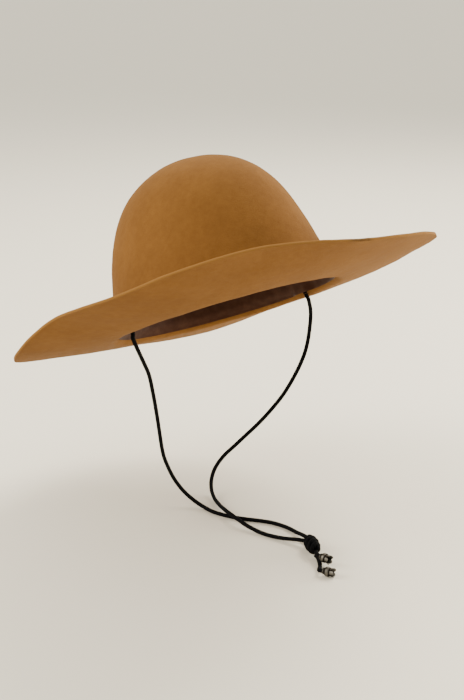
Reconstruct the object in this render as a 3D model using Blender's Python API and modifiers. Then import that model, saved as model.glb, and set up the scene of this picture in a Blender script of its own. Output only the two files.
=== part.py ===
"""Wide brim felt hat with a chin cord, in metres, +Z up.

The hat is held up in the tilt in which a head wears it: the origin is the middle of the head opening,
the front of the brim points to -Y and is raised. The chin cord leaves the opening at both ears, hangs
down to the surface under the hat and lies there, tied in a knot with two metal tips on its ends.
"""

import math

import bmesh
import bpy
from mathutils import Matrix, Vector

# The routes and the knot are listed in millimetres
MILLIMETRE = 0.001

# Head opening, inside the felt
HEAD_LENGTH = 0.196
HEAD_WIDTH = 0.162
# How the hat sits: level from side to side, its front raised by a turn about X
PITCH_BACK = math.radians(24.9)

# Felt body
FELT_WALL = 0.002
CROWN_HEIGHT = 0.120
CROWN_TAPER = 0.303
CROWN_ROUNDNESS = 4.8
CROWN_STRETCH = 0.028
CROWN_LEAN = 0.0037
BREAK_RADIUS = 0.006
BREAK_DROP = 0.0015
BRIM_WIDTH = 0.079
BRIM_CURL = 1.3
AROUND = 64
BRIM_RINGS = 7
BREAK_RINGS = 3
CROWN_RINGS = 13
CROWN_CROWDING = 1.8

# The brim, by angle from the front towards +X: its width and how far its edge rises above the opening,
# both as shares of BRIM_WIDTH
BRIM_SECTIONS = [
    dict(angle=0, width=1.07, rise=0.092),
    dict(angle=30, width=1.01, rise=0.102),
    dict(angle=60, width=0.96, rise=0.127),
    dict(angle=90, width=0.95, rise=0.090),
    dict(angle=120, width=0.98, rise=0.081),
    dict(angle=150, width=1.05, rise=0.007),
    dict(angle=180, width=1.08, rise=0.080),
    dict(angle=210, width=1.07, rise=0.092),
    dict(angle=240, width=1.01, rise=0.070),
    dict(angle=270, width=0.88, rise=0.214),
    dict(angle=300, width=0.93, rise=0.201),
    dict(angle=330, width=1.05, rise=0.234),
]

# Sweatband
BAND_WALL = 0.001
BAND_BOTTOM = 0.002
BAND_TOP = 0.036
BAND_GAP = 0.0004
# Degrees past an exit at which the sweatband is back on the felt, and at which it starts to leave it
BAND_BACK = 9.0
BAND_LEAVES = 3.0
# Degrees beside an exit within which the sweatband's lower edge stands open, and where it is closed
MOUTH_OPEN = 4.0
MOUTH_CLOSED = 10.0

# Chin cord
CORD_DIAMETER = 0.0032
CORD_HEIGHT = 0.012
RIGHT_EXIT = 262.0
LEFT_EXIT = 88.0
CORD_STEP = 0.0075
CURVE_POINTS = 20
STRAIGHT_OUT = 0.006
TAIL_STEP = 0.0015
TOUCH = 0.0003

# The stretch under the sweatband at each exit: degrees behind the exit, and height above the opening
EXIT_BEND = [
    dict(behind=0.0, height=0.0010),
    dict(behind=0.0, height=0.0040),
    dict(behind=0.9, height=0.0080),
    dict(behind=3.2, height=0.0110),
    dict(behind=7.0, height=0.0120),
]

# Route of each free strand after its exit, in millimetres: down from the ear, then along a surface that
# is 167.7 mm below the opening
RIGHT_STRAND = [
    (-73.6, 10.4, -23), (-68.5, 12.3, -32), (-62.3, 15.4, -43), (-57.7, 18.1, -56.5), (-53, 21.5, -71),
    (-48.2, 25.4, -86), (-44.8, 27.6, -100), (-41.5, 29.7, -113), (-37.5, 31.4, -124), (-29, 33, -141),
    (-21, 31, -154), (-15, 25, -162), (-12, 15, -165.6), (-11, 3, -166.1),
    (-8, -7, -166.1), (-4, -16, -166.1), (1, -24, -166.1), (7, -32, -166.1), (13, -42, -166.1),
    (16.5, -55, -166.1), (16, -68, -165.6), (14.3, -79, -164), (11.1, -89.5, -162.5),
]
LEFT_STRAND = [
    (86, -1.5, -18), (84, 0, -42), (79, 3, -60), (70, 9, -81), (61, 15, -96), (51, 22, -110),
    (43, 28, -120), (35, 33, -129), (27, 38, -138), (20.5, 41, -147.5), (15.5, 40, -156), (10.5, 34, -162),
    (5, 23, -165), (0, 10, -165), (-4, -1, -163.7), (-7.5, -14, -162.5), (-9, -26, -162.6), (-8, -38, -164.7),
    (-5, -53, -166.1), (0, -68, -165.6), (5, -79.5, -164), (7.7, -87.7, -162.7),
]

# Knot, in millimetres
KNOT_CENTRE = (5.2, -98.0, -161.2)
KNOT_SIZE = (20.5, 11.5, 12.9)
KNOT_TURN = math.radians(-115)

# The two tails past the knot, in millimetres, and where each tip begins and points
TAILS = [
    dict(side="left", route=[(0.7, -107.6, -162.2), (-1.2, -110.4, -161.9), (-3.0, -113.6, -161.5)],
         neck=(-2.7, -116.2, -161.4), turn=math.radians(-82)),
    dict(side="right", route=[(1.1, -106.7, -165.6), (0.6, -109.6, -166.0), (-1.9, -113.8, -166.1),
                              (-5.6, -118.9, -166.0), (-9.5, -123.3, -165.7), (-13.1, -126.4, -164.8),
                              (-14.7, -128.5, -164.1)],
         neck=(-13.7, -130.6, -163.9), turn=math.radians(-62)),
]
TIP_LENGTH = 0.009
TIP_MOUTH = 0.0075
TIP_NECK = 0.0044
TIP_WALL = 0.0005
TIP_SIDES = 16

# The outside of a tip from its neck to its mouth: place along it as a share of TIP_LENGTH, and radius
# as a share of the way from the neck's to the mouth's
TIP_SECTIONS = [
    dict(along=0.0, flare=0.0),
    dict(along=0.28, flare=0.05),
    dict(along=0.42, flare=0.62),
    dict(along=0.62, flare=0.92),
    dict(along=0.80, flare=0.86),
    dict(along=1.0, flare=1.0),
]


def clear_scene():
    """Remove whatever the file opened with."""
    for thing in list(bpy.data.objects):
        bpy.data.objects.remove(thing, do_unlink=True)


def make_material(name, colour, roughness, metallic=0.0):
    """A Principled material of one colour."""
    material = bpy.data.materials.new(name)
    material.use_nodes = True
    shader = material.node_tree.nodes["Principled BSDF"]
    shader.inputs["Base Color"].default_value = (*colour, 1.0)
    shader.inputs["Roughness"].default_value = roughness
    shader.inputs["Metallic"].default_value = metallic
    material.diffuse_color = (*colour, 1.0)
    return material


def smooth_step(low, high, value):
    """0 below low, 1 above high, and a smooth rise between them."""
    t = min(1.0, max(0.0, (value - low) / (high - low)))
    return t * t * (3.0 - 2.0 * t)


def catmull_rom(p0, p1, p2, p3, t):
    """A point between p1 and p2 on a smooth curve through all four."""
    return 0.5 * (2 * p1 + (p2 - p0) * t + (2 * p0 - 5 * p1 + 4 * p2 - p3) * t * t
                  + (3 * p1 - p0 - 3 * p2 + p3) * t ** 3)


def brim_value(column, degrees):
    """A column of the brim's table at any angle, on a smooth closed curve through its rows."""
    count = len(BRIM_SECTIONS)
    place = (degrees % 360.0) * count / 360.0
    row = int(place)
    values = [BRIM_SECTIONS[(row + k - 1) % count][column] for k in range(4)]
    return catmull_rom(*values, place - row)


def opening_point(degrees, outward, height):
    """A point beside the head opening's edge, at an angle from the front towards +X."""
    angle = math.radians(degrees)
    half_width, half_length = HEAD_WIDTH / 2, HEAD_LENGTH / 2
    edge = Vector((half_width * math.sin(angle), -half_length * math.cos(angle), height))
    normal = Vector((math.sin(angle) / half_width, -math.cos(angle) / half_length, 0.0)).normalized()
    return edge + normal * outward


def crown_point(degrees, height, inward=0.0):
    """A point on the inside of the crown at a height, or further inward from it."""
    angle = math.radians(degrees)
    share = height / CROWN_HEIGHT
    size = math.sqrt(max(0.0, 1.0 - share ** CROWN_ROUNDNESS)) * (1.0 - CROWN_TAPER * share)
    x = HEAD_WIDTH / 2 * size * math.sin(angle)
    y = -HEAD_LENGTH / 2 * size * (1.0 + CROWN_STRETCH * share) * math.cos(angle)
    normal = opening_point(degrees, 1.0, 0.0) - opening_point(degrees, 0.0, 0.0)
    return Vector((x, y + CROWN_LEAN * share, height)) - normal * inward


def brim_point(degrees, outward):
    """A point on the underside of the brim, so far out from the head opening."""
    width = BRIM_WIDTH * brim_value("width", degrees)
    rise = BRIM_WIDTH * brim_value("rise", degrees) + BREAK_DROP
    return opening_point(degrees, outward, rise * (outward / width) ** BRIM_CURL - BREAK_DROP)


def felt_section(degrees):
    """Points on the felt's inner side from the brim's edge, round the break, to near the crown's top."""
    width = BRIM_WIDTH * brim_value("width", degrees)
    points = []
    for ring in range(BRIM_RINGS):
        points.append(brim_point(degrees, width + (BREAK_RADIUS - width) * ring / BRIM_RINGS))
    out = brim_point(degrees, BREAK_RADIUS)
    corner = opening_point(degrees, 0.0, -BREAK_DROP)
    up = crown_point(degrees, BREAK_RADIUS)
    for ring in range(BREAK_RINGS):
        t = ring / BREAK_RINGS
        points.append(out * (1 - t) ** 2 + corner * 2 * t * (1 - t) + up * t * t)
    low = BREAK_RADIUS / CROWN_HEIGHT
    for ring in range(CROWN_RINGS):
        share = 1.0 - (1.0 - ring / CROWN_RINGS) ** CROWN_CROWDING
        points.append(crown_point(degrees, CROWN_HEIGHT * (low + (1.0 - low) * share)))
    return points


def loft_object(name, sections, material, pole=None):
    """An object whose open surface joins the sections side by side, all the way round."""
    shape = bmesh.new()
    columns = [[shape.verts.new(point) for point in section] for section in sections]
    top = shape.verts.new(pole) if pole is not None else None
    for this, following in zip(columns, columns[1:] + columns[:1]):
        for k in range(len(this) - 1):
            shape.faces.new((this[k], following[k], following[k + 1], this[k + 1]))
        if top is not None:
            shape.faces.new((this[-1], following[-1], top))
    mesh = bpy.data.meshes.new(name)
    shape.to_mesh(mesh)
    shape.free()
    return add_object(name, mesh, material)


def add_object(name, data, material):
    """Put a mesh or curve in the hat's collection under its own name."""
    thing = bpy.data.objects.new(name, data)
    data.materials.append(material)
    if isinstance(data, bpy.types.Mesh):
        data.shade_smooth()
    parts.objects.link(thing)
    return thing


def add_wall(thing, thickness, offset):
    """Give an open surface its thickness, on the side that the normals point to where offset is 1."""
    wall = thing.modifiers.new("wall", "SOLIDIFY")
    wall.thickness = thickness
    wall.offset = offset
    wall.use_even_offset = True


def make_felt_body(material):
    """Crown and brim in one piece of felt."""
    sections = [felt_section(360.0 * k / AROUND) for k in range(AROUND)]
    felt = loft_object("felt_body", sections, material, pole=Vector((0.0, CROWN_LEAN, CROWN_HEIGHT)))
    add_wall(felt, FELT_WALL, 1.0)
    return felt


def band_room(degrees, height):
    """How far the sweatband stands off the felt: it bulges over the cord behind it."""
    past_left = smooth_step(LEFT_EXIT - BAND_BACK, LEFT_EXIT - BAND_LEAVES, degrees)
    past_right = 1.0 - smooth_step(RIGHT_EXIT + BAND_LEAVES, RIGHT_EXIT + BAND_BACK, degrees)
    along = min(past_left, past_right)
    ridge = 1.0 - smooth_step(CORD_DIAMETER, 3 * CORD_DIAMETER, abs(height - CORD_HEIGHT))
    from_exit = min(abs(degrees - LEFT_EXIT), abs(degrees - RIGHT_EXIT))
    mouth = 1.0 - smooth_step(MOUTH_OPEN, MOUTH_CLOSED, from_exit)
    if height > CORD_HEIGHT:
        mouth = 0.0
    return BAND_GAP + (CORD_DIAMETER + BAND_GAP) * along * max(ridge, mouth)


def make_sweatband(material):
    """The band inside the crown, from the break upwards."""
    under_cord = CORD_HEIGHT - CORD_DIAMETER
    above_cord = [CORD_HEIGHT + k * CORD_DIAMETER for k in (1, 2, 3)]
    heights = [BAND_BOTTOM, (BAND_BOTTOM + under_cord) / 2, under_cord] + above_cord + [BAND_TOP]
    sections = []
    for k in range(AROUND):
        degrees = 360.0 * k / AROUND
        sections.append([crown_point(degrees, height, band_room(degrees, height)) for height in heights])
    band = loft_object("sweatband", sections, material)
    add_wall(band, BAND_WALL, -1.0)
    return band


def hat_tilt():
    """Turn of the hat as it sits."""
    return Matrix.Rotation(-PITCH_BACK, 4, "X")


def smooth_route(points, step):
    """Points at even steps on a smooth curve through a route's own points."""
    ends = [2 * points[0] - points[1]] + points + [2 * points[-1] - points[-2]]
    fine = []
    for k in range(len(points) - 1):
        fine += [catmull_rom(*ends[k:k + 4], t / CURVE_POINTS) for t in range(CURVE_POINTS)]
    fine.append(points[-1])
    lengths = [0.0]
    for a, b in zip(fine, fine[1:]):
        lengths.append(lengths[-1] + (b - a).length)
    count = max(2, round(lengths[-1] / step))
    result = []
    k = 0
    for i in range(count + 1):
        wanted = lengths[-1] * i / count
        while k < len(fine) - 2 and lengths[k + 1] < wanted:
            k += 1
        part = (wanted - lengths[k]) / max(1e-9, lengths[k + 1] - lengths[k])
        result.append(fine[k].lerp(fine[k + 1], min(1.0, part)))
    return result


def make_cord(name, points, material):
    """A round cord with closed ends along a line of points."""
    curve = bpy.data.curves.new(name, "CURVE")
    curve.dimensions = "3D"
    curve.bevel_depth = CORD_DIAMETER / 2
    curve.bevel_resolution = 2
    curve.use_fill_caps = True
    line = curve.splines.new("POLY")
    line.points.add(len(points) - 1)
    for place, point in zip(line.points, points):
        place.co = (*point, 1.0)
    return add_object(name, curve, material)


def hidden_route():
    """The cord behind the sweatband: up from one exit, round the back of the crown and down again."""
    inward = BAND_GAP + CORD_DIAMETER / 2
    rows = [(LEFT_EXIT + bend["behind"], bend["height"]) for bend in EXIT_BEND]
    turn = 360.0 / AROUND
    first = math.ceil((LEFT_EXIT + EXIT_BEND[-1]["behind"] + turn / 2) / turn)
    last = math.floor((RIGHT_EXIT - EXIT_BEND[-1]["behind"] - turn / 2) / turn)
    rows += [(k * turn, CORD_HEIGHT) for k in range(first, last + 1)]
    rows += [(RIGHT_EXIT - bend["behind"], bend["height"]) for bend in reversed(EXIT_BEND)]
    return [crown_point(degrees, height, inward) for degrees, height in rows]


def exit_points(end, before_end):
    """Where a strand starts, just past an end of the hidden stretch, and the end of its straight run."""
    out = (end - before_end).normalized()
    return [hat_tilt() @ (end + out * reach) for reach in (TOUCH, TOUCH + STRAIGHT_OUT)]


def in_metres(route):
    """A route that is listed in millimetres, as vectors in metres."""
    return [Vector(point) * MILLIMETRE for point in route]


def make_strand(name, start, route, material):
    """A free strand of the cord, from its exit by the ear to the knot."""
    return make_cord(name, smooth_route(start + in_metres(route), CORD_STEP), material)


def make_knot(material):
    """The outer shape of the knot that ties both strands."""
    shape = bmesh.new()
    bmesh.ops.create_icosphere(shape, subdivisions=2, radius=0.5)
    bmesh.ops.scale(shape, vec=Vector(KNOT_SIZE) * MILLIMETRE, verts=shape.verts)
    mesh = bpy.data.meshes.new("chin_knot")
    shape.to_mesh(mesh)
    shape.free()
    knot = add_object("chin_knot", mesh, material)
    knot.location = Vector(KNOT_CENTRE) * MILLIMETRE
    knot.rotation_euler.z = KNOT_TURN
    return knot


def tip_profile():
    """Outline of a tip's wall along +X, from the neck's solid end to the open mouth and back inside."""
    neck, mouth = TIP_NECK / 2, TIP_MOUTH / 2
    outside = [(row["along"] * TIP_LENGTH, neck + (mouth - neck) * row["flare"]) for row in TIP_SECTIONS]
    inside = [(x, r - TIP_WALL) for x, r in outside[2:]]
    return [(0.0, 0.0)] + outside + inside[::-1] + [(inside[0][0] - TIP_WALL, 0.0)]


def make_tip(name, start, turn, material):
    """A turned bell-shaped metal tip, lying with its mouth away from the cord."""
    shape = bmesh.new()
    points = [shape.verts.new((along, 0.0, radius)) for along, radius in tip_profile()]
    for a, b in zip(points, points[1:]):
        shape.edges.new((a, b))
    bmesh.ops.spin(shape, geom=list(shape.verts) + list(shape.edges), cent=(0, 0, 0), axis=(1, 0, 0),
                   angle=2 * math.pi, steps=TIP_SIDES, use_merge=True)
    bmesh.ops.remove_doubles(shape, verts=shape.verts, dist=1e-6)
    bmesh.ops.recalc_face_normals(shape, faces=shape.faces)
    mesh = bpy.data.meshes.new(name)
    shape.to_mesh(mesh)
    shape.free()
    tip = add_object(name, mesh, material)
    tip.location = start
    tip.rotation_euler.z = turn
    return tip


clear_scene()
parts = bpy.data.collections.new("wide_brim_hat")
bpy.context.scene.collection.children.link(parts)

felt_colour = make_material("camel_felt", (0.16, 0.07, 0.015), 0.95)
band_colour = make_material("brown_leather", (0.03, 0.011, 0.006), 0.6)
cord_colour = make_material("black_cord", (0.004, 0.004, 0.005), 0.6)
metal_colour = make_material("old_silver", (0.30, 0.28, 0.24), 0.4, metallic=1.0)

tilt = bpy.data.objects.new("hat_tilt", None)
parts.objects.link(tilt)
tilt.rotation_euler.x = -PITCH_BACK

hidden = hidden_route()
for piece in (make_felt_body(felt_colour), make_sweatband(band_colour),
              make_cord("chin_cord_hidden", hidden, cord_colour)):
    piece.parent = tilt

make_strand("chin_cord_right", exit_points(hidden[-1], hidden[-2]), RIGHT_STRAND, cord_colour)
make_strand("chin_cord_left", exit_points(hidden[0], hidden[1]), LEFT_STRAND, cord_colour)
make_knot(cord_colour)

for row in TAILS:
    heading = Vector((math.cos(row["turn"]), math.sin(row["turn"]), 0.0))
    neck = Vector(row["neck"]) * MILLIMETRE
    tail = in_metres(row["route"]) + [neck]
    make_cord("tail_" + row["side"], smooth_route(tail, TAIL_STEP), cord_colour)
    make_tip("tip_" + row["side"], neck + heading * TOUCH, row["turn"], metal_colour)
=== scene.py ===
import math

import bmesh
import bpy
import numpy as np
from mathutils import Matrix, Vector, noise


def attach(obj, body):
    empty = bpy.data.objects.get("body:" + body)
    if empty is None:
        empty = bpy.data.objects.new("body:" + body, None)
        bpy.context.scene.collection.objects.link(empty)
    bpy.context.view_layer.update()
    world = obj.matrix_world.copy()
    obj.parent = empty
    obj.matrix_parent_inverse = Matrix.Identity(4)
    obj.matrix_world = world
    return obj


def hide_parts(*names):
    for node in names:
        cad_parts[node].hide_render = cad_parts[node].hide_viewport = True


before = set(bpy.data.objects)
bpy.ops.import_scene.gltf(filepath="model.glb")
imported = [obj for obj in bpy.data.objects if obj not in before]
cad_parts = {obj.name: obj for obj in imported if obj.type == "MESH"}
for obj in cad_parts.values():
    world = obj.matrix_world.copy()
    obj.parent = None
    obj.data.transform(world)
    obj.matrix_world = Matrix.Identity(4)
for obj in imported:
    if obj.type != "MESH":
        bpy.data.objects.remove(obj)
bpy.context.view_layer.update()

# The camera stands before the wearer's right cheek and looks a little down on the hat, as in the photo.
camera_place = (-0.5678, -0.7304, 0.2526)
camera_turn = -38.14
camera_down = 17.05
camera_lens = 64.03

camera_data = bpy.data.cameras.new("photo_camera")
camera_data.lens = camera_lens
camera_data.sensor_width = 36.0
camera = bpy.data.objects.new("photo_camera", camera_data)
camera.location = camera_place
camera.rotation_euler = (math.radians(90.0 - camera_down), 0.0, math.radians(camera_turn))
bpy.context.scene.collection.objects.link(camera)
bpy.context.scene.camera = camera


# The two free strands of the chin cord: round braided polyester, 3.2 mm thick and limp. Each comes out
# between felt and sweatband by an ear, hangs down, and lies along the table to the knot.
cord_diameter = 0.0032
strand_sides = 16
strand_step = 0.0006
braid_pitch = 0.0042
braid_carriers = 4
braid_relief = 0.00009
braid_depth = 0.00015
filaments_in_carrier = 5.0
lint_scale = 900.0
rub_share = 0.7
lint_share = 0.3
crossing_height = 0.7
filament_height = 0.3
black_dye = (0.0008, 0.0008, 0.0012)
worn_black = (0.0045, 0.0042, 0.0050)
mm_per_metre = 1000.0
points_per_span = 24
nearly_upright = 0.9
right_route_mm = [
    (-78.2, 12.5, -5.0), (-78.8, 11.2, -7.7), (-79.4, 10.0, -10.3), (-73.6, 10.4, -23), (-68.5, 12.3, -32),
    (-62.3, 15.4, -43), (-57.7, 18.1, -56.5), (-53, 21.5, -71), (-48.2, 25.4, -86), (-44.8, 27.6, -100),
    (-41.5, 29.7, -113), (-37.5, 31.4, -124), (-29, 33, -141), (-21, 31, -154), (-15, 25, -162),
    (-12, 15, -165.6), (-11, 3, -166.1), (-8, -7, -166.1), (-4, -16, -166.1), (1, -24, -166.1),
    (7, -32, -166.1), (13, -42, -166.1), (16.5, -55, -166.1), (16, -68, -165.6), (14.3, -79, -164),
    (11.1, -89.5, -162.5),
]
left_route_mm = [
    (78.9, -2.7, 2.1), (79.5, -4.1, -0.6), (80.1, -5.4, -3.2), (86, -1.5, -18), (84, 0, -42),
    (79, 3, -60), (70, 9, -81), (61, 15, -96), (51, 22, -110), (43, 28, -120), (35, 33, -129),
    (27, 38, -138), (20.5, 41, -147.5), (15.5, 40, -156), (10.5, 34, -162), (5, 23, -165), (0, 10, -165),
    (-4, -1, -163.7), (-7.5, -14, -162.5), (-9, -26, -162.6), (-8, -38, -164.7), (-5, -53, -166.1),
    (0, -68, -165.6), (5, -79.5, -164), (7.7, -87.7, -162.7),
]


class Value:
    """A socket of a node tree, on which sums and products are written as Python expressions."""

    def __init__(self, tree, socket=None):
        self.tree = tree
        self.socket = socket

    def node(self, kind, settings=None, inputs=None, out=0):
        """Add a node: its settings first, then the values and links of its sockets."""
        made = self.tree.nodes.new(kind)
        for name, setting in (settings or {}).items():
            setattr(made, name, setting)
        for key, given in (inputs or {}).items():
            if isinstance(given, Value):
                self.tree.links.new(given.socket, made.inputs[key])
            else:
                made.inputs[key].default_value = given
        return Value(self.tree, made.outputs[out])

    def math(self, operation, *values):
        return self.node("ShaderNodeMath", {"operation": operation}, dict(enumerate(values)))

    def __add__(self, other):
        return self.math("ADD", self, other)

    def __sub__(self, other):
        return self.math("SUBTRACT", self, other)

    def __rsub__(self, other):
        return self.math("SUBTRACT", other, self)

    def __mul__(self, other):
        return self.math("MULTIPLY", self, other)

    def __pow__(self, other):
        return self.math("POWER", self, other)

    __radd__ = __add__
    __rmul__ = __mul__

    def between(self, low, high):
        """0 below low, 1 above high, and a smooth rise between them."""
        inputs = {"Value": self, "From Min": low, "From Max": high}
        return self.node("ShaderNodeMapRange", {"interpolation_type": "SMOOTHSTEP"}, inputs)

    def blend(self, share, colour_a, colour_b):
        """From colour_a to colour_b as share goes from 0 to 1."""
        # A colour mix has its factor, A, B and result on sockets 0, 6, 7 and 2
        return self.node("ShaderNodeMix", {"data_type": "RGBA"}, {0: share, 6: colour_a, 7: colour_b}, 2)

    def mix(self, colour_a, colour_b):
        """From colour_a to colour_b as this value goes from 0 to 1."""
        return self.blend(self, colour_a, colour_b)

    def object_place(self):
        """Where on the piece, in metres."""
        return self.node("ShaderNodeTexCoord", out="Object")

    def part(self, axis):
        """The X, Y or Z of a place."""
        return self.node("ShaderNodeSeparateXYZ", None, {"Vector": self}, axis)

    def attribute(self, name):
        return self.node("ShaderNodeAttribute", {"attribute_name": name}, out="Fac")

    def noise(self, coordinates, scale, detail=3.0, roughness=0.5):
        inputs = {"Vector": coordinates, "Scale": scale, "Detail": detail, "Roughness": roughness}
        return self.node("ShaderNodeTexNoise", None, inputs)

    def bump(self, height, distance, strength):
        inputs = {"Height": height, "Distance": distance, "Strength": strength}
        return self.node("ShaderNodeBump", None, inputs)


def new_material(name, **constants):
    """A material, its tree and its Principled shader, with what is the same all over set on it."""
    material = bpy.data.materials.new(name)
    material.use_nodes = True
    shader = material.node_tree.nodes["Principled BSDF"]
    for key, given in constants.items():
        shader.inputs[key.replace("_", " ")].default_value = given
    return material, Value(material.node_tree), shader


def feed(tree, shader, **links):
    """Link expressions to the shader's sockets."""
    for key, given in links.items():
        tree.tree.links.new(given.socket, shader.inputs[key.replace("_", " ")])


def rgba(colour):
    return (*colour, 1.0)


def link_piece(name, mesh, material):
    """A finished mesh as an object at the origin, shaded smooth."""
    mesh.materials.append(material)
    mesh.shade_smooth()
    piece = bpy.data.objects.new(name, mesh)
    bpy.context.scene.collection.objects.link(piece)
    return piece


def smooth_between(p0, p1, p2, p3, t):
    """From p1 to p2 as t goes from 0 to 1, on the smooth curve that also passes through p0 and p3."""
    return 0.5 * (2 * p1 + (p2 - p0) * t + (2 * p0 - 5 * p1 + 4 * p2 - p3) * t ** 2
                  + (3 * p1 - p0 - 3 * p2 + p3) * t ** 3)


def lengths_along(path):
    """How far along a path each of its points lies."""
    return np.append(0.0, np.cumsum(np.linalg.norm(np.diff(path, axis=0), axis=1)))


def smooth_path(route_mm):
    """Points in metres at even steps on a smooth curve through a route in millimetres."""
    route = np.array(route_mm) / mm_per_metre
    ends = np.vstack([2 * route[0] - route[1], route, 2 * route[-1] - route[-2]])
    t = np.linspace(0.0, 1.0, points_per_span, endpoint=False)[:, None]
    spans = [smooth_between(*four, t) for four in zip(ends, ends[1:], ends[2:], ends[3:])]
    fine = np.vstack(spans + [route[-1:]])
    lengths = lengths_along(fine)
    even = np.linspace(0.0, lengths[-1], round(lengths[-1] / strand_step) + 1)
    return np.column_stack([np.interp(even, lengths, fine[:, k]) for k in range(3)])


def braided_tube(shape, uv_layer, path):
    """Add a closed round cord along a path, its braid standing proud, with UVs round and along it."""
    tangent = np.gradient(path, axis=0)
    tangent /= np.linalg.norm(tangent, axis=1)[:, None]
    across = (0.0, 0.0, 1.0) if abs(tangent[0][2]) < nearly_upright else (1.0, 0.0, 0.0)
    side = np.cross(tangent[0], across)
    along = lengths_along(path)
    turn = 2 * math.pi * np.arange(strand_sides) / strand_sides
    rings = []
    for place, forward, far in zip(path, tangent, along):
        side = side - forward * side.dot(forward)
        side /= np.linalg.norm(side)
        up = np.cross(forward, side)
        phase = 2 * math.pi * far / braid_pitch
        weave = np.sin(braid_carriers * turn + phase) * np.sin(braid_carriers * turn - phase)
        radius = cord_diameter / 2 + braid_relief * weave
        ring = place + radius[:, None] * (np.cos(turn)[:, None] * side + np.sin(turn)[:, None] * up)
        rings.append([shape.verts.new(point) for point in ring])
    for k, (this, following) in enumerate(zip(rings, rings[1:])):
        for j in range(strand_sides):
            beside = (j + 1) % strand_sides
            face = shape.faces.new((this[j], this[beside], following[beside], following[j]))
            places = ((j, k), (j + 1, k), (j + 1, k + 1), (j, k + 1))
            for loop, (round_share, ring) in zip(face.loops, places):
                loop[uv_layer].uv = (round_share / strand_sides, along[ring] / braid_pitch)
    shape.faces.new(rings[0][::-1])
    shape.faces.new(rings[-1])


def cord_piece(name, paths, material):
    """One piece of one or more cords."""
    shape = bmesh.new()
    uv_layer = shape.loops.layers.uv.new("UVMap")
    for path in paths:
        braided_tube(shape, uv_layer, path)
    mesh = bpy.data.meshes.new(name)
    shape.to_mesh(mesh)
    shape.free()
    return link_piece(name, mesh, material)


braid, tree, shader = new_material("black_braid", Roughness=0.8, Specular_IOR_Level=0.06)
round_and_along = tree.node("ShaderNodeUVMap", {"uv_map": "UVMap"})
round_cord = round_and_along.part("X")
along_cord = round_and_along.part("Y")
strand_sum = round_cord * (2 * math.pi * braid_carriers) + along_cord * (2 * math.pi)
strand_gap = round_cord * (2 * math.pi * braid_carriers) - along_cord * (2 * math.pi)
crossing = tree.math("SINE", strand_sum) * tree.math("SINE", strand_gap)
filaments = tree.math("SINE", strand_sum * filaments_in_carrier) * 0.5 + 0.5
rub = (crossing * 0.5 + 0.5) ** 3.0
lint = tree.noise(tree.object_place(), lint_scale)
feed(tree, shader,
     Base_Color=(rub * rub_share + lint * lint_share).mix(rgba(black_dye), rgba(worn_black)),
     Normal=tree.bump(crossing * crossing_height + filaments * filament_height, braid_depth, strength=0.8))

right_path = smooth_path(right_route_mm)
left_path = smooth_path(left_route_mm)
right_strand = cord_piece("chin_cord_right_braid", [right_path], braid)
left_strand = cord_piece("chin_cord_left_braid", [left_path], braid)
for strand, node in ((right_strand, "chin_cord_right"), (left_strand, "chin_cord_left")):
    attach(strand, "root")
    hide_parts(node)


# The knot: both strands are tied together in one pull-tight knot, so that they lie round each other in
# a lumpy barrel. It is the same braided cord, and nothing else holds it.
knot_centre = Vector((5.2, -98.0, -161.2)) / mm_per_metre
knot_heading = math.radians(-115)
knot_length = 0.0200
knot_end_cut = 0.4
knot_wrap_radius = 0.0041
knot_entry_radius = 0.0017
knot_height = 1.12
knot_turns = 2.1
knot_start_turn = 0.2
knot_fullness = 0.55
knot_unevenness = 0.35
knot_slant = 0.0012
knot_slant_turn = 0.6
knot_points = 90
core_half = 0.006
core_points = 12


def knot_path(phase):
    """One strand's way through the knot: wraps that lie aslant and swell towards its middle."""
    t = np.linspace(0.0, 1.0, knot_points)
    swell = np.sin(math.pi * t) ** knot_fullness
    radius = knot_entry_radius + (knot_wrap_radius - knot_entry_radius) * swell
    angle = phase + 2 * math.pi * knot_turns * t + knot_unevenness * np.sin(2 * math.pi * t)
    slant = knot_slant * np.sin(angle - knot_slant_turn) * swell
    x = (t - 0.5) * (knot_length - cord_diameter * knot_end_cut) + slant
    local = np.column_stack([x, radius * np.cos(angle), knot_height * radius * np.sin(angle)])
    turn = np.array(Matrix.Rotation(knot_heading, 3, "Z"))
    return local @ turn.T + np.array(knot_centre)


knot_axis = Vector((math.cos(knot_heading), math.sin(knot_heading), 0.0))
core_places = np.linspace(-core_half, core_half, core_points)
core_path = np.array([knot_centre + knot_axis * place for place in core_places])
knot_paths = [knot_path(knot_start_turn), knot_path(knot_start_turn + math.pi), core_path]
knot = cord_piece("chin_knot_tied", knot_paths, braid)
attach(knot, "root")
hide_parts("chin_knot")


# The tails and their tips: the cord's two short ends past the knot, with small cast bells of antiqued
# silver-coloured metal glued over them. Each is a ball with a ringed neck and a mouth of five petals, and
# has dark patina left in its hollows; the same dark is also painted over the ball's shoulder towards the
# neck as painted shade.
tip_length = 0.009
tip_mouth = 0.0075
tip_neck = 0.0044
tip_wall = 0.0005
tip_seat = 0.0003
tip_around = 60
petal_count = 5
petal_start = 0.0056
petal_length = 0.0033
petal_width = 0.0040
petal_radius = 0.0030
petal_flare = 0.0007
petal_sizes = {"Start": petal_start, "Length": petal_length, "Width": petal_width,
               "Radius": petal_radius, "Flare": petal_flare}
petal_widest = 0.35
petal_taper = 1.5
petal_bend = 1.5
petal_rows = 11
petal_columns = 9
root_patina = 1.6
rim_patina = 3.0
pitting_scale = 1400.0
pitting_depth = 0.00012
pitting_share = 0.7
patina_and_shade_weight = 1.1
patina_and_shade_range = (0.35, 1.0)
silver_roughness = 0.42
patina_and_shade_roughness = 0.77
# The dark colour below is patina in the hollows and also painted shade on the ball's shoulder towards the
# neck.
bright_silver = (0.120, 0.113, 0.098)
patina_and_shade = (0.012, 0.009, 0.007)
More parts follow.
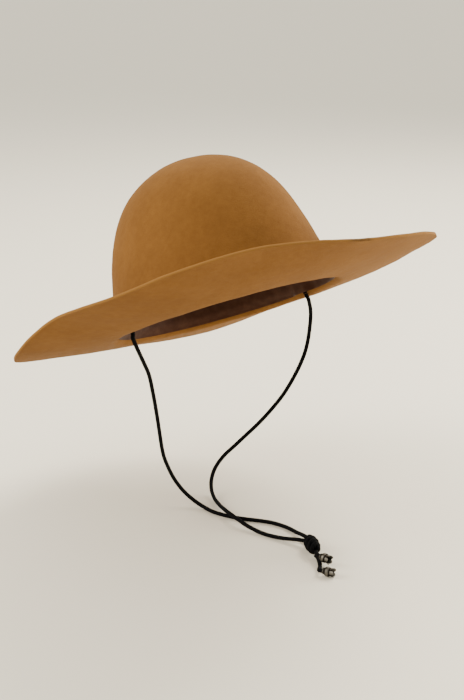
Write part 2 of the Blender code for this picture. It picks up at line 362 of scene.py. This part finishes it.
tails_mm = [
    dict(side="left", turn=math.radians(-82), neck=(-2.7, -116.2, -161.4),
         route=[(0.7, -107.6, -162.2), (-1.2, -110.4, -161.9), (-3.0, -113.6, -161.5)]),
    dict(side="right", turn=math.radians(-62), neck=(-13.7, -130.6, -163.9),
         route=[(1.1, -106.7, -165.6), (0.6, -109.6, -166.0), (-1.9, -113.8, -166.1), (-5.6, -118.9, -166.0),
                (-9.5, -123.3, -165.7), (-13.1, -126.4, -164.8), (-14.7, -128.5, -164.1)]),
]
# Outline of a tip from neck to mouth: place along it, radius from the neck's (0) to the mouth's (1), and
# how dark it is: patina in the neck's groove and under the petals, painted shade on the ball's shoulder
# towards the neck
tip_outline = [
    dict(along=0.00, flare=0.00, dark=0.6),
    dict(along=0.04, flare=0.14, dark=0.2),
    dict(along=0.09, flare=0.18, dark=0.2),
    dict(along=0.13, flare=0.04, dark=1.0),
    dict(along=0.17, flare=0.30, dark=1.0),
    dict(along=0.23, flare=0.62, dark=0.7),
    dict(along=0.31, flare=0.86, dark=0.3),
    dict(along=0.41, flare=0.97, dark=0.0),
    dict(along=0.51, flare=0.92, dark=0.1),
    dict(along=0.60, flare=0.72, dark=0.6),
    dict(along=0.66, flare=0.52, dark=1.0),
    dict(along=0.70, flare=0.46, dark=1.0),
]


def petal_ring(material):
    """The node tree that sets a tip's petals round its mouth and joins them to its ball."""
    group = bpy.data.node_groups.new("petal_ring", "GeometryNodeTree")
    group.interface.new_socket("Geometry", in_out="INPUT", socket_type="NodeSocketGeometry")
    group.interface.new_socket("Petals", in_out="INPUT", socket_type="NodeSocketInt")
    for name in petal_sizes:
        group.interface.new_socket(name, in_out="INPUT", socket_type="NodeSocketFloat")
    group.interface.new_socket("Geometry", in_out="OUTPUT", socket_type="NodeSocketGeometry")
    tree = Value(group)
    given = group.nodes.new("NodeGroupInput").outputs
    ball, count = Value(group, given["Geometry"]), Value(group, given["Petals"])
    start, length, width, radius, flare = (Value(group, given[name]) for name in petal_sizes)
    leaf = tree.node("GeometryNodeMeshGrid", None, {"Size X": length, "Size Y": width,
                                                    "Vertices X": petal_rows, "Vertices Y": petal_columns})
    place = tree.node("GeometryNodeInputPosition")
    across = place.part("Y")
    share = tree.math("DIVIDE", place.part("X"), length) + 0.5
    round_end = tree.math("SQRT", 1.0 - ((share - petal_widest) * petal_taper) ** 2.0)
    side = across * round_end
    height = radius + flare * share ** petal_bend - tree.math("DIVIDE", side * side, radius * 2.0)
    bent = tree.node("ShaderNodeCombineXYZ", None, {"X": start + length * share, "Y": side, "Z": height})
    leaf = tree.node("GeometryNodeSetPosition", None, {"Geometry": leaf, "Position": bent})
    rim = tree.math("ABSOLUTE", tree.math("DIVIDE", across, width)) * 2.0
    left_in_hollows = tree.math("MAXIMUM", 1.0 - share * root_patina, rim ** rim_patina)
    leaf = tree.node("GeometryNodeStoreNamedAttribute", {"data_type": "FLOAT", "domain": "POINT"},
                     {"Geometry": leaf, "Name": "patina_and_shade", "Value": left_in_hollows})
    turn = tree.math("DIVIDE", tree.node("GeometryNodeInputIndex") * (2 * math.pi), count)
    facing = tree.node("ShaderNodeCombineXYZ", None, {"X": turn})
    facing = tree.node("FunctionNodeEulerToRotation", None, {"Euler": facing})
    ring = tree.node("GeometryNodeInstanceOnPoints", None,
                     {"Points": tree.node("GeometryNodePoints", None, {"Count": count}),
                      "Instance": leaf, "Rotation": facing})
    petals = tree.node("GeometryNodeRealizeInstances", None, {"Geometry": ring})
    joined = group.nodes.new("GeometryNodeJoinGeometry")
    for geometry in (petals, ball):
        group.links.new(geometry.socket, joined.inputs["Geometry"])
    finished = tree.node("GeometryNodeSetMaterial", None,
                         {"Geometry": Value(group, joined.outputs[0]), "Material": material})
    group.links.new(finished.socket, group.nodes.new("NodeGroupOutput").inputs[0])
    return group


def tip_piece(name, start, turn, ring_tree, material):
    """A bell-shaped tip with its neck at start and its mouth ahead."""
    shape = bmesh.new()
    dark_layer = shape.verts.layers.float.new("patina_and_shade")
    rings = []
    for row in tip_outline:
        radius = tip_neck / 2 + (tip_mouth - tip_neck) / 2 * row["flare"]
        ring = []
        for k in range(tip_around):
            angle = 2 * math.pi * k / tip_around
            place = (row["along"] * tip_length, radius * math.cos(angle), radius * math.sin(angle))
            vert = shape.verts.new(place)
            vert[dark_layer] = row["dark"]
            ring.append(vert)
        rings.append(ring)
    for this, following in zip(rings, rings[1:]):
        for k in range(tip_around):
            beside = (k + 1) % tip_around
            shape.faces.new((this[k], following[k], following[beside], this[beside]))
    shape.faces.new(rings[0])
    bmesh.ops.recalc_face_normals(shape, faces=shape.faces)
    ball = bpy.data.meshes.new(name)
    shape.to_mesh(ball)
    shape.free()
    maker = link_piece(name + "_maker", ball, material)
    petal_maker = maker.modifiers.new("petals", "NODES")
    petal_maker.node_group = ring_tree
    sizes = {"Petals": petal_count, **petal_sizes}
    for socket in ring_tree.interface.items_tree:
        if socket.in_out == "INPUT" and socket.name in sizes:
            petal_maker[socket.identifier] = sizes[socket.name]
    finished = maker.evaluated_get(bpy.context.evaluated_depsgraph_get())
    mesh = bpy.data.meshes.new_from_object(finished)
    bpy.data.objects.remove(maker)
    mesh.materials.clear()
    mesh.transform(Matrix.Translation(start) @ Matrix.Rotation(turn, 4, "Z"))
    piece = link_piece(name, mesh, material)
    wall = piece.modifiers.new("wall", "SOLIDIFY")
    wall.thickness = tip_wall
    wall.offset = -1.0
    return piece


silver, tree, shader = new_material("antiqued_silver", Metallic=1.0)
pitting = tree.noise(tree.object_place(), pitting_scale, detail=4.0)
# The dark mix is patina in the tips' hollows and painted shade on each ball's shoulder towards the neck.
patina_and_shade_mask = (tree.attribute("patina_and_shade") * patina_and_shade_weight + pitting * pitting_share).between(*patina_and_shade_range)
feed(tree, shader,
     Base_Color=patina_and_shade_mask.mix(rgba(bright_silver), rgba(patina_and_shade)),
     Roughness=patina_and_shade_mask * (patina_and_shade_roughness - silver_roughness) + silver_roughness,
     Normal=tree.bump(pitting, pitting_depth, strength=0.5))

ring_tree = petal_ring(silver)
knot_extras = []
for row in tails_mm:
    tail_path = smooth_path(row["route"] + [row["neck"]])
    tail = cord_piece("cord_tail_" + row["side"], [tail_path], braid)
    heading = Vector((math.cos(row["turn"]), math.sin(row["turn"]), 0.0))
    neck = Vector(row["neck"]) / mm_per_metre + heading * tip_seat
    tip = tip_piece("cord_tip_" + row["side"], neck, row["turn"], ring_tree, silver)
    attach(tail, "root")
    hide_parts("tail_" + row["side"])
    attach(tip, "root")
    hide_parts("tip_" + row["side"])
    knot_extras += [tail, tip]


# The felt body: one piece of camel wool felt, blocked into a round crown and a wide brim, 2 mm thick.
# The brim's edge is cut raw, so its pale core shows as a thin line, and dirt is rubbed into one short
# stretch of it.
head_length = 0.196
head_width = 0.162
pitch_back = math.radians(24.9)
felt_wall = 0.002
crown_height = 0.120
crown_taper = 0.303
crown_roundness = 4.8
crown_stretch = 0.028
crown_lean = 0.0037
break_radius = 0.006
break_drop = 0.0015
brim_width = 0.079
brim_curl = 1.3
# The brim at even angles from the front towards +X: its width, and how high its edge stands over the
# head opening, as shares of brim_width
brim_sections = [
    dict(angle=0, width=1.07, rise=0.092),
    dict(angle=30, width=1.01, rise=0.102),
    dict(angle=60, width=0.96, rise=0.127),
    dict(angle=90, width=0.95, rise=0.090),
    dict(angle=120, width=0.98, rise=0.081),
    dict(angle=150, width=1.05, rise=0.007),
    dict(angle=180, width=1.08, rise=0.080),
    dict(angle=210, width=1.07, rise=0.092),
    dict(angle=240, width=1.01, rise=0.070),
    dict(angle=270, width=0.88, rise=0.214),
    dict(angle=300, width=0.93, rise=0.201),
    dict(angle=330, width=1.05, rise=0.234),
]
mark_angle = 355.2
mark_half = 3.4
felt_around = 360
brim_rings = 30
break_rings = 6
crown_rings = 44
crown_crowding = 1.8
edge_steps = (0.0, 0.0002, 0.0005)
dent_scale = 28.0
dent_depth = 0.0006
ripple_scale = 95.0
ripple_depth = 0.00018
ripple_shift = Vector((3.0, 1.0, 7.0))
cloud_scale = 26.0
cloud_share = 0.45
mottle_scale = 210.0
mottle_share = 0.35
mottle_height = 0.8
fibre_scale = 1500.0
fibre_share = 0.3
fibre_height = 0.6
nap_depth = 0.0005
dye_range = (0.25, 0.90)
camel_share = 0.3
edge_fray = 0.5
edge_range = (0.3, 0.8)
mark_patches = (0.219, 0.719)
mark_strength = 0.8
camel = (0.158, 0.068, 0.014)
camel_light = (0.205, 0.092, 0.020)
camel_dark = (0.118, 0.048, 0.009)
pale_core = (0.205, 0.096, 0.024)
soot = (0.040, 0.022, 0.008)
hat_tilt = Matrix.Rotation(-pitch_back, 4, "X")


def smooth_step(low, high, value):
    """0 below low, 1 above high, and a smooth rise between them."""
    t = min(1.0, max(0.0, (value - low) / (high - low)))
    return t * t * (3.0 - 2.0 * t)


def brim_value(column, degrees):
    """A column of the brim's table at any angle, on a smooth closed curve through its rows."""
    place = (degrees % 360.0) / brim_sections[1]["angle"]
    row = int(place)
    four = (brim_sections[(row + k - 1) % len(brim_sections)][column] for k in range(4))
    return smooth_between(*four, place - row)


def opening_normal(degrees):
    """The way straight out from the head opening's edge."""
    angle = math.radians(degrees)
    return Vector((math.sin(angle) / head_width, -math.cos(angle) / head_length, 0.0)).normalized()


def opening_point(degrees, outward, height):
    """A point beside the head opening's edge, at an angle from the front towards +X."""
    angle = math.radians(degrees)
    edge = Vector((head_width / 2 * math.sin(angle), -head_length / 2 * math.cos(angle), height))
    return edge + opening_normal(degrees) * outward


def crown_point(degrees, height, inward=0.0):
    """A point on the inside of the crown at a height, or further inward from it."""
    angle = math.radians(degrees)
    share = height / crown_height
    size = math.sqrt(max(0.0, 1.0 - share ** crown_roundness)) * (1.0 - crown_taper * share)
    x = head_width / 2 * size * math.sin(angle)
    y = -head_length / 2 * size * (1.0 + crown_stretch * share) * math.cos(angle)
    return Vector((x, y + crown_lean * share, height)) - opening_normal(degrees) * inward


def brim_point(degrees, outward):
    """A point on the underside of the brim, so far out from the head opening."""
    width = brim_width * brim_value("width", degrees)
    rise = brim_width * brim_value("rise", degrees) + break_drop
    return opening_point(degrees, outward, rise * (outward / width) ** brim_curl - break_drop)


def felt_section(degrees):
    """Points with their cut-edge share, from the brim's edge round the break to the crown's top."""
    width = brim_width * brim_value("width", degrees)
    section = []
    for step in edge_steps:
        section.append((brim_point(degrees, width - step), 1.0 - step / edge_steps[-1]))
    inner = width - edge_steps[-1]
    for ring in range(1, brim_rings):
        section.append((brim_point(degrees, inner + (break_radius - inner) * ring / brim_rings), 0.0))
    out = brim_point(degrees, break_radius)
    corner = opening_point(degrees, 0.0, -break_drop)
    up = crown_point(degrees, break_radius)
    for ring in range(break_rings):
        t = ring / break_rings
        section.append((out * (1 - t) ** 2 + corner * 2 * t * (1 - t) + up * t * t, 0.0))
    low = break_radius / crown_height
    for ring in range(crown_rings):
        share = 1.0 - (1.0 - ring / crown_rings) ** crown_crowding
        section.append((crown_point(degrees, crown_height * (low + (1.0 - low) * share)), 0.0))
    return section


def hand_worn(point):
    """Soft unevenness of handled felt, up to half a millimetre, as a shift along the surface's normal."""
    dents = noise.noise(point * dent_scale) * dent_depth
    ripples = noise.noise(point * ripple_scale + ripple_shift) * ripple_depth
    return dents + ripples


felt_mesh = bmesh.new()
edge_layer = felt_mesh.verts.layers.float.new("cut_edge")
mark_layer = felt_mesh.verts.layers.float.new("rubbed_mark")
columns = []
for k in range(felt_around):
    column = []
    degrees = 360.0 * k / felt_around
    beside_mark = abs(degrees - mark_angle)
    for point, edge_share in felt_section(degrees):
        vert = felt_mesh.verts.new(point)
        vert[edge_layer] = edge_share
        vert[mark_layer] = edge_share * (1.0 - smooth_step(mark_half / 2, mark_half, beside_mark))
        column.append(vert)
    columns.append(column)
top = felt_mesh.verts.new((0.0, crown_lean, crown_height))
for this, following in zip(columns, columns[1:] + columns[:1]):
    for k in range(len(this) - 1):
        felt_mesh.faces.new((this[k], following[k], following[k + 1], this[k + 1]))
    felt_mesh.faces.new((this[-1], following[-1], top))
felt_mesh.normal_update()
shifts = [(vert, vert.normal * hand_worn(vert.co)) for vert in felt_mesh.verts]
for vert, shift in shifts:
    vert.co = hat_tilt @ (vert.co + shift)
felt_data = bpy.data.meshes.new("felt_body_blocked")
felt_mesh.to_mesh(felt_data)
felt_mesh.free()

felt, tree, shader = new_material("camel_wool_felt", Roughness=0.95, Specular_IOR_Level=0.1,
                                  Sheen_Weight=0.02, Sheen_Roughness=0.6,
                                  Sheen_Tint=(0.9, 0.68, 0.4, 1.0))
felt_place = tree.object_place()
cloudy = tree.noise(felt_place, cloud_scale, detail=4.0, roughness=0.55)
mottled = tree.noise(felt_place, mottle_scale, detail=4.0, roughness=0.6)
fibres = tree.noise(felt_place, fibre_scale, roughness=0.65)
wool = (cloudy * cloud_share + mottled * mottle_share + fibres * fibre_share).between(*dye_range)
dyed = tree.blend(camel_share, wool.mix(rgba(camel_dark), rgba(camel_light)), rgba(camel))
cut_edge = (tree.attribute("cut_edge") + (fibres - 0.5) * edge_fray).between(*edge_range)
edged = cut_edge.mix(dyed, rgba(pale_core))
rubbed_mark = tree.attribute("rubbed_mark") * mottled.between(*mark_patches) * mark_strength
feed(tree, shader,
     Base_Color=rubbed_mark.mix(edged, rgba(soot)),
     Normal=tree.bump(fibres * fibre_height + mottled * mottle_height, nap_depth, strength=0.55))

felt_body = link_piece("felt_body_blocked", felt_data, felt)
felt_wall_maker = felt_body.modifiers.new("wall", "SOLIDIFY")
felt_wall_maker.thickness = felt_wall
felt_wall_maker.offset = 1.0
felt_wall_maker.use_even_offset = True
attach(felt_body, "root")
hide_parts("felt_body")


# The sweatband: a strip of dark brown leather round the inside of the crown, sewn to it at the break.
# Behind it the cord runs from ear to ear round the back, and makes it bulge.
band_wall = 0.001
band_bottom = 0.002
band_top = 0.036
band_gap = 0.0004
band_clear = 0.0002
cord_height = 0.012
right_exit = 262.0
left_exit = 88.0
band_back = 9.0
band_leaves = 3.0
mouth_open = 4.0
mouth_closed = 10.0
bulge_reach = 3 * cord_diameter
band_around = 240
band_rings = 26
pore_scale = 900.0
pore_height = 0.8
crease_scale = 160.0
crease_height = 0.4
grain_depth = 0.0003
rubbed_range = (0.3, 0.9)
band_roughness = 0.7
rubbed_roughness = 0.55
band_brown = (0.032, 0.0095, 0.0030)
band_rubbed = (0.050, 0.0175, 0.0065)


def band_room(degrees, height):
    """How far the sweatband stands off the felt: it bulges over the cord behind it."""
    past_left = smooth_step(left_exit - band_back, left_exit - band_leaves, degrees)
    past_right = 1.0 - smooth_step(right_exit + band_leaves, right_exit + band_back, degrees)
    along = min(past_left, past_right)
    ridge = 1.0 - smooth_step(cord_diameter, bulge_reach, abs(height - cord_height))
    from_exit = min(abs(degrees - left_exit), abs(degrees - right_exit))
    mouth = 1.0 - smooth_step(mouth_open, mouth_closed, from_exit)
    if height > cord_height:
        mouth = 0.0
    return band_gap + (cord_diameter + band_gap) * along * max(ridge, mouth)


band_shape = bmesh.new()
band_columns = []
for k in range(band_around):
    degrees = 360.0 * k / band_around
    column = []
    for ring in range(band_rings + 1):
        height = band_bottom + (band_top - band_bottom) * ring / band_rings
        point = crown_point(degrees, height, band_room(degrees, height) + band_clear)
        column.append(band_shape.verts.new(hat_tilt @ point))
    band_columns.append(column)
for this, following in zip(band_columns, band_columns[1:] + band_columns[:1]):
    for k in range(band_rings):
        band_shape.faces.new((this[k], following[k], following[k + 1], this[k + 1]))
band_data = bpy.data.meshes.new("sweatband_leather")
band_shape.to_mesh(band_data)
band_shape.free()

leather, tree, shader = new_material("dark_brown_leather", Specular_IOR_Level=0.12)
hide_place = tree.object_place()
pores = tree.node("ShaderNodeTexVoronoi", {"feature": "DISTANCE_TO_EDGE"},
                  {"Vector": hide_place, "Scale": pore_scale})
creases = tree.noise(hide_place, crease_scale, detail=4.0)
rubbed = creases.between(*rubbed_range)
feed(tree, shader,
     Base_Color=rubbed.mix(rgba(band_brown), rgba(band_rubbed)),
     Roughness=rubbed * (rubbed_roughness - band_roughness) + band_roughness,
     Normal=tree.bump(pores * pore_height + creases * crease_height, grain_depth, strength=0.5))

sweatband = link_piece("sweatband_leather", band_data, leather)
band_wall_maker = sweatband.modifiers.new("wall", "SOLIDIFY")
band_wall_maker.thickness = band_wall
band_wall_maker.offset = -1.0
band_wall_maker.use_even_offset = True
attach(sweatband, "root")
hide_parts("sweatband")


# The hidden stretch of the chin cord: the same braided cord, which makes the two strands one loop. The
# sweatband holds it against the felt, up at one ear, round the back and down at the other.
hidden_bend = [
    dict(behind=0.0, height=0.0010),
    dict(behind=0.0, height=0.0040),
    dict(behind=0.9, height=0.0080),
    dict(behind=3.2, height=0.0110),
    dict(behind=7.0, height=0.0120),
]
hidden_turn = 5.625
hidden_depth = band_gap + cord_diameter / 2

hidden_rows = [(left_exit + row["behind"], row["height"]) for row in hidden_bend]
for k in range(math.ceil(left_exit / hidden_turn + 2), math.floor(right_exit / hidden_turn - 1)):
    hidden_rows.append((k * hidden_turn, cord_height))
hidden_rows += [(right_exit - row["behind"], row["height"]) for row in reversed(hidden_bend)]
hidden_route_mm = [mm_per_metre * (hat_tilt @ crown_point(*row, hidden_depth)) for row in hidden_rows]
hidden_cord = cord_piece("chin_cord_hidden_braid", [smooth_path(hidden_route_mm)], braid)
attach(hidden_cord, "root")
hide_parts("chin_cord_hidden")


# The floor and the light: a pale table top, a large soft light high on the right behind the hat, a
# weaker one on the left, a small one low on the right, and a pale room all round.
floor_height = -0.16775
floor_size = 40.0
floor_colour = (0.79, 0.745, 0.635)
room_colour = (0.98, 0.94, 0.84)
room_strength = 1.42

floor_shape = bmesh.new()
bmesh.ops.create_grid(floor_shape, x_segments=1, y_segments=1, size=floor_size / 2)
bmesh.ops.translate(floor_shape, verts=floor_shape.verts, vec=(0.0, 0.0, floor_height))
floor_data = bpy.data.meshes.new("table_top")
floor_shape.to_mesh(floor_data)
floor_shape.free()
floor_paint, tree, shader = new_material("pale_table", Roughness=0.7)
shader.inputs["Base Color"].default_value = rgba(floor_colour)
floor = link_piece("table_top", floor_data, floor_paint)


def soft_light(name, place, aim, size, watts, colour):
    """A square soft light at place, turned towards aim."""
    data = bpy.data.lights.new(name, "AREA")
    data.size = size
    data.energy = watts
    data.color = colour
    light = bpy.data.objects.new(name, data)
    light.location = place
    light.rotation_euler = (Vector(aim) - Vector(place)).to_track_quat("-Z", "Y").to_euler()
    bpy.context.scene.collection.objects.link(light)


soft_light("key", place=(1.25, 0.45, 1.4), aim=(0.0, 0.0, 0.0), size=1.0, watts=57.0,
           colour=(1.0, 0.93, 0.80))
soft_light("left_side", place=(-1.1, 0.7, 0.7), aim=(0.0, 0.0, 0.0), size=1.0, watts=25.0,
           colour=(1.0, 0.93, 0.82))
soft_light("low_right", place=(0.85, -0.45, 0.0), aim=(0.1, -0.1, 0.0), size=0.4, watts=11.0,
           colour=(1.0, 0.93, 0.82))
world = bpy.data.worlds.new("pale_room")
world.use_nodes = True
world.node_tree.nodes["Background"].inputs["Color"].default_value = rgba(room_colour)
world.node_tree.nodes["Background"].inputs["Strength"].default_value = room_strength
bpy.context.scene.world = world
